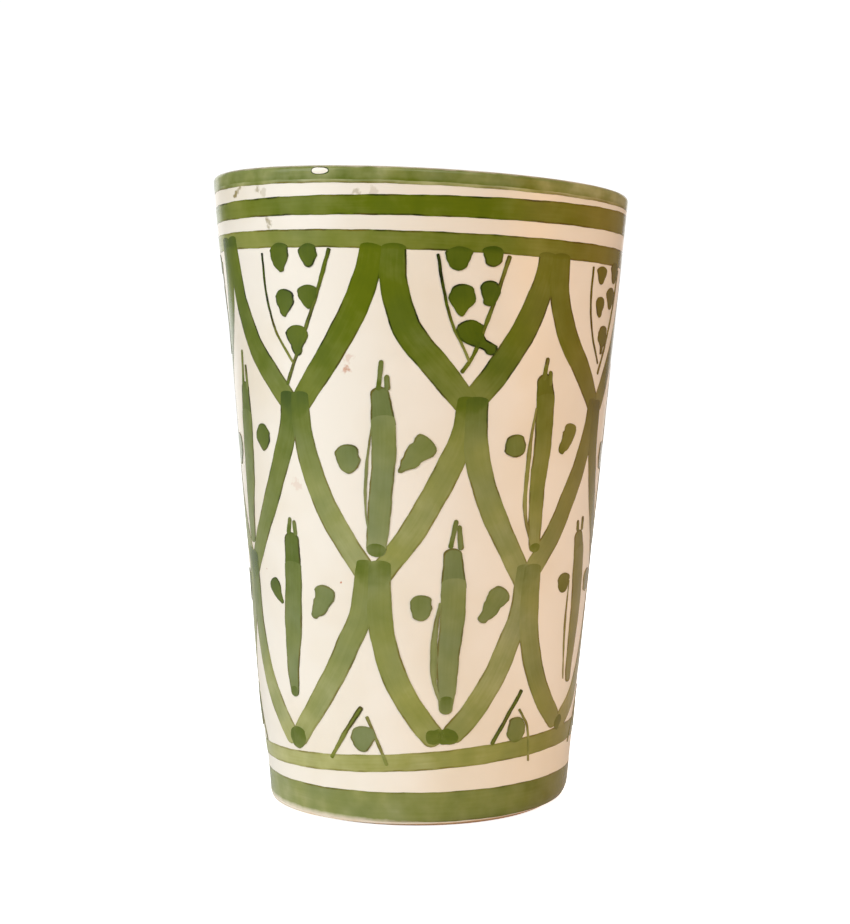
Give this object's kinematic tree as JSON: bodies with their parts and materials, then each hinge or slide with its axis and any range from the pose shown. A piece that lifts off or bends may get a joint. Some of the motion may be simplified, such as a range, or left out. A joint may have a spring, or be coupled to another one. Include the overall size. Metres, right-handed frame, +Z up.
{
  "type": "pottery cup",
  "caption": "Tall tapered hand-painted pottery tumbler with a rounded lip, cream glaze, and green brushed bands, lattice and leaves.",
  "frame": {"origin": "middle of the foot, on the surface that the cup stands on", "axes": "+Z up along the axis of the cup, -Y towards the front, +X to the right seen from the front"},
  "size_m": [0.081, 0.081, 0.12],
  "materials": {
    "clay": "bare fired earthenware, matt, at the foot",
    "cream_glaze": "cream tin glaze, soft gloss",
    "olive_paint": "thin olive green brushed glaze, soft gloss",
    "green_paint": "darker green brushed glaze, soft gloss"
  },
  "bodies": {
    "root": {"clay_body": "clay", "glaze_coat": "cream_glaze", "lip_band": "olive_paint", "upper_stripe": "green_paint", "upper_border": "olive_paint", "lower_border": "olive_paint", "base_band": "green_paint", "lattice": "olive_paint", "upper_leaf_1": "green_paint", "upper_leaf_2": "green_paint", "upper_leaf_3": "green_paint", "upper_leaf_4": "green_paint", "upper_leaf_5": "green_paint", "upper_leaf_6": "green_paint", "upper_leaf_7": "green_paint", "lower_leaf_1": "green_paint", "lower_leaf_2": "green_paint", "lower_leaf_3": "green_paint", "lower_leaf_4": "green_paint", "lower_leaf_5": "green_paint", "lower_leaf_6": "green_paint", "lower_leaf_7": "green_paint"}
  },
  "joints": []
}
